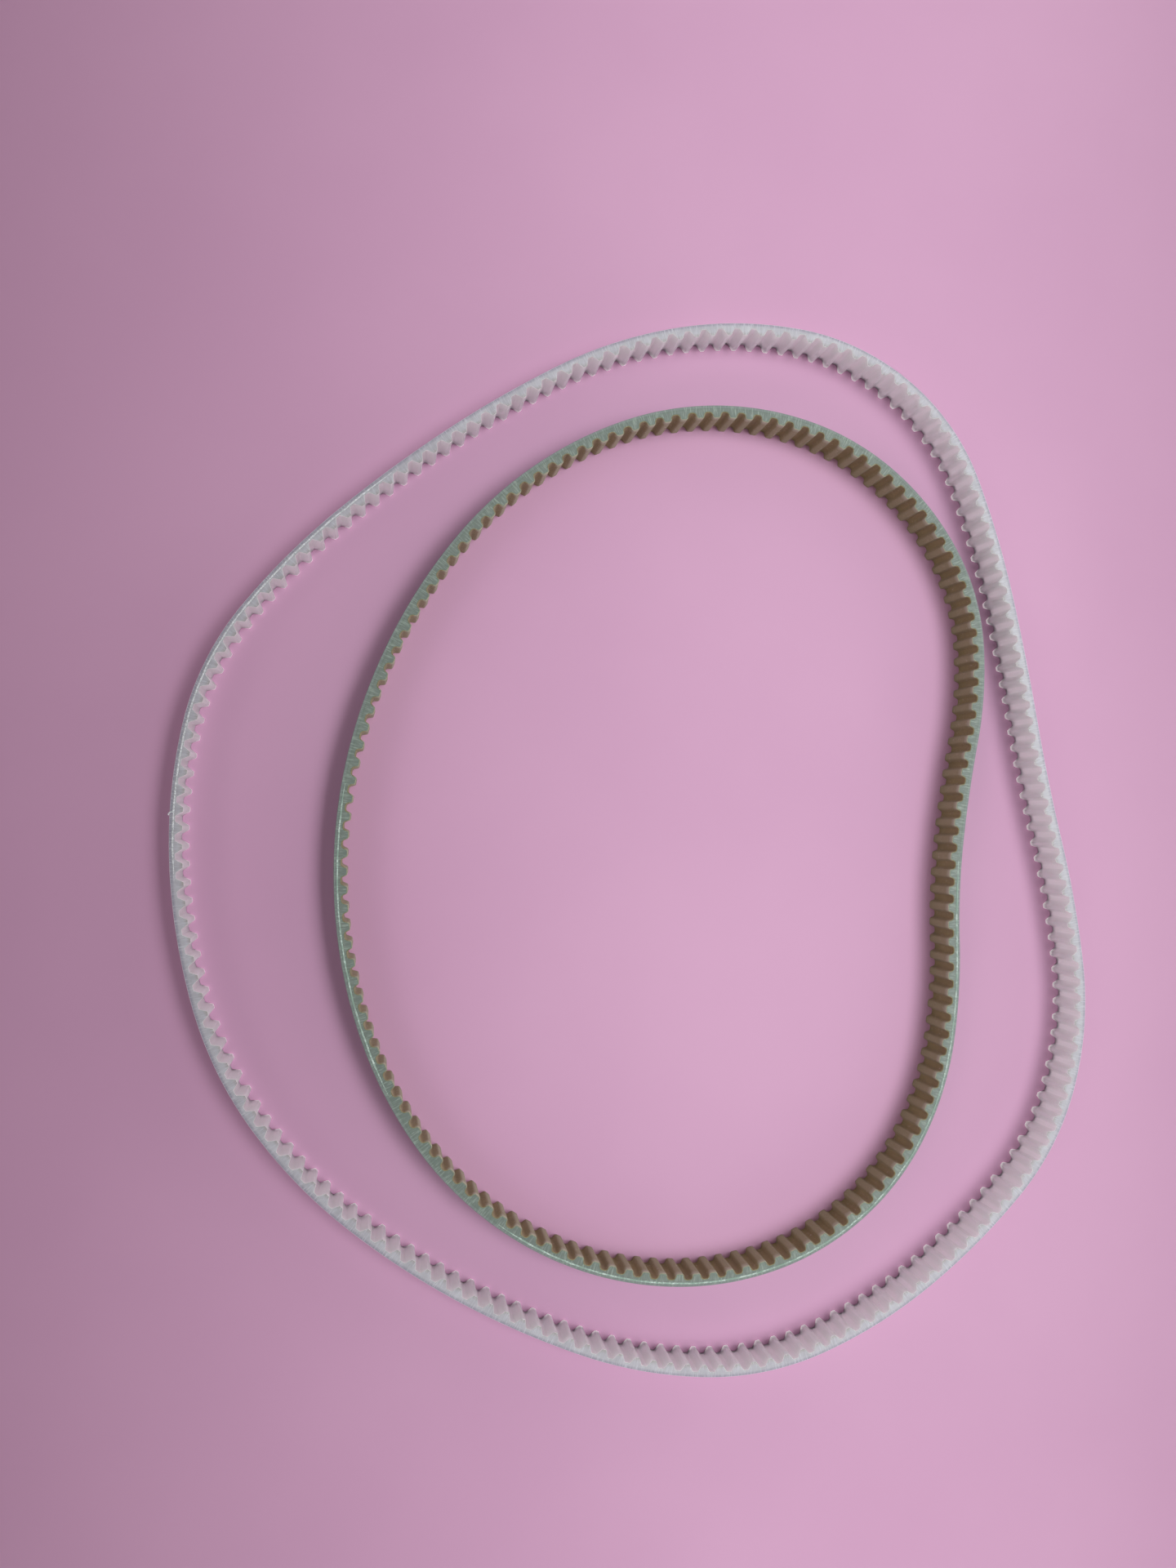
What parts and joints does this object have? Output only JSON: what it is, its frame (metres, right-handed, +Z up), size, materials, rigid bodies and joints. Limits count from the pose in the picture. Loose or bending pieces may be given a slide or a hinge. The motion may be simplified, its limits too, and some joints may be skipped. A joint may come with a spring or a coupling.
{
  "type": "timing belt",
  "caption": "Nested endless toothed timing belts lying on edge: a milky polyurethane belt around a green belt with a fabric-faced tooth side.",
  "frame": {"origin": "middle of the set's outline in plan, on the plane both belts' lower cut edges stand on", "axes": "+Z up across the belt width, +Y along the longer side of the outer loop, +X across it"},
  "size_m": [0.2636, 0.3004, 0.0121],
  "materials": {
    "clear_polyurethane": "translucent, satin",
    "green_polyurethane": "satin",
    "tooth_facing": "woven nylon, dull",
    "cord": "twisted yarn"
  },
  "bodies": {
    "outer_belt": {"outer_belt_body": "clear_polyurethane", "outer_belt_bare_cord": "cord", "outer_belt_cord_s_turn_1": "cord", "outer_belt_cord_z_turn_1": "cord", "outer_belt_cord_s_turn_2": "cord", "outer_belt_cord_z_turn_2": "cord", "outer_belt_cord_s_turn_3": "cord", "outer_belt_cord_z_turn_3": "cord", "outer_belt_cord_s_turn_4": "cord", "outer_belt_cord_z_turn_4": "cord", "outer_belt_cord_s_turn_5": "cord", "outer_belt_cord_z_turn_5": "cord"},
    "inner_belt": {"inner_belt_body": "green_polyurethane", "inner_belt_facing": "tooth_facing", "inner_belt_bare_cord_1": "cord", "inner_belt_bare_cord_2": "cord", "inner_belt_cord_s_turn_1": "cord", "inner_belt_cord_z_turn_1": "cord", "inner_belt_cord_s_turn_2": "cord", "inner_belt_cord_z_turn_2": "cord", "inner_belt_cord_s_turn_3": "cord", "inner_belt_cord_z_turn_3": "cord", "inner_belt_cord_s_turn_4": "cord", "inner_belt_cord_z_turn_4": "cord", "inner_belt_cord_s_turn_5": "cord", "inner_belt_cord_z_turn_5": "cord"}
  },
  "joints": [
    {"name": "inner_belt_lift", "type": "slide", "parent": "outer_belt", "child": "inner_belt", "axis": [0, 0, 1], "range_m": [0, 0.03]}
  ]
}
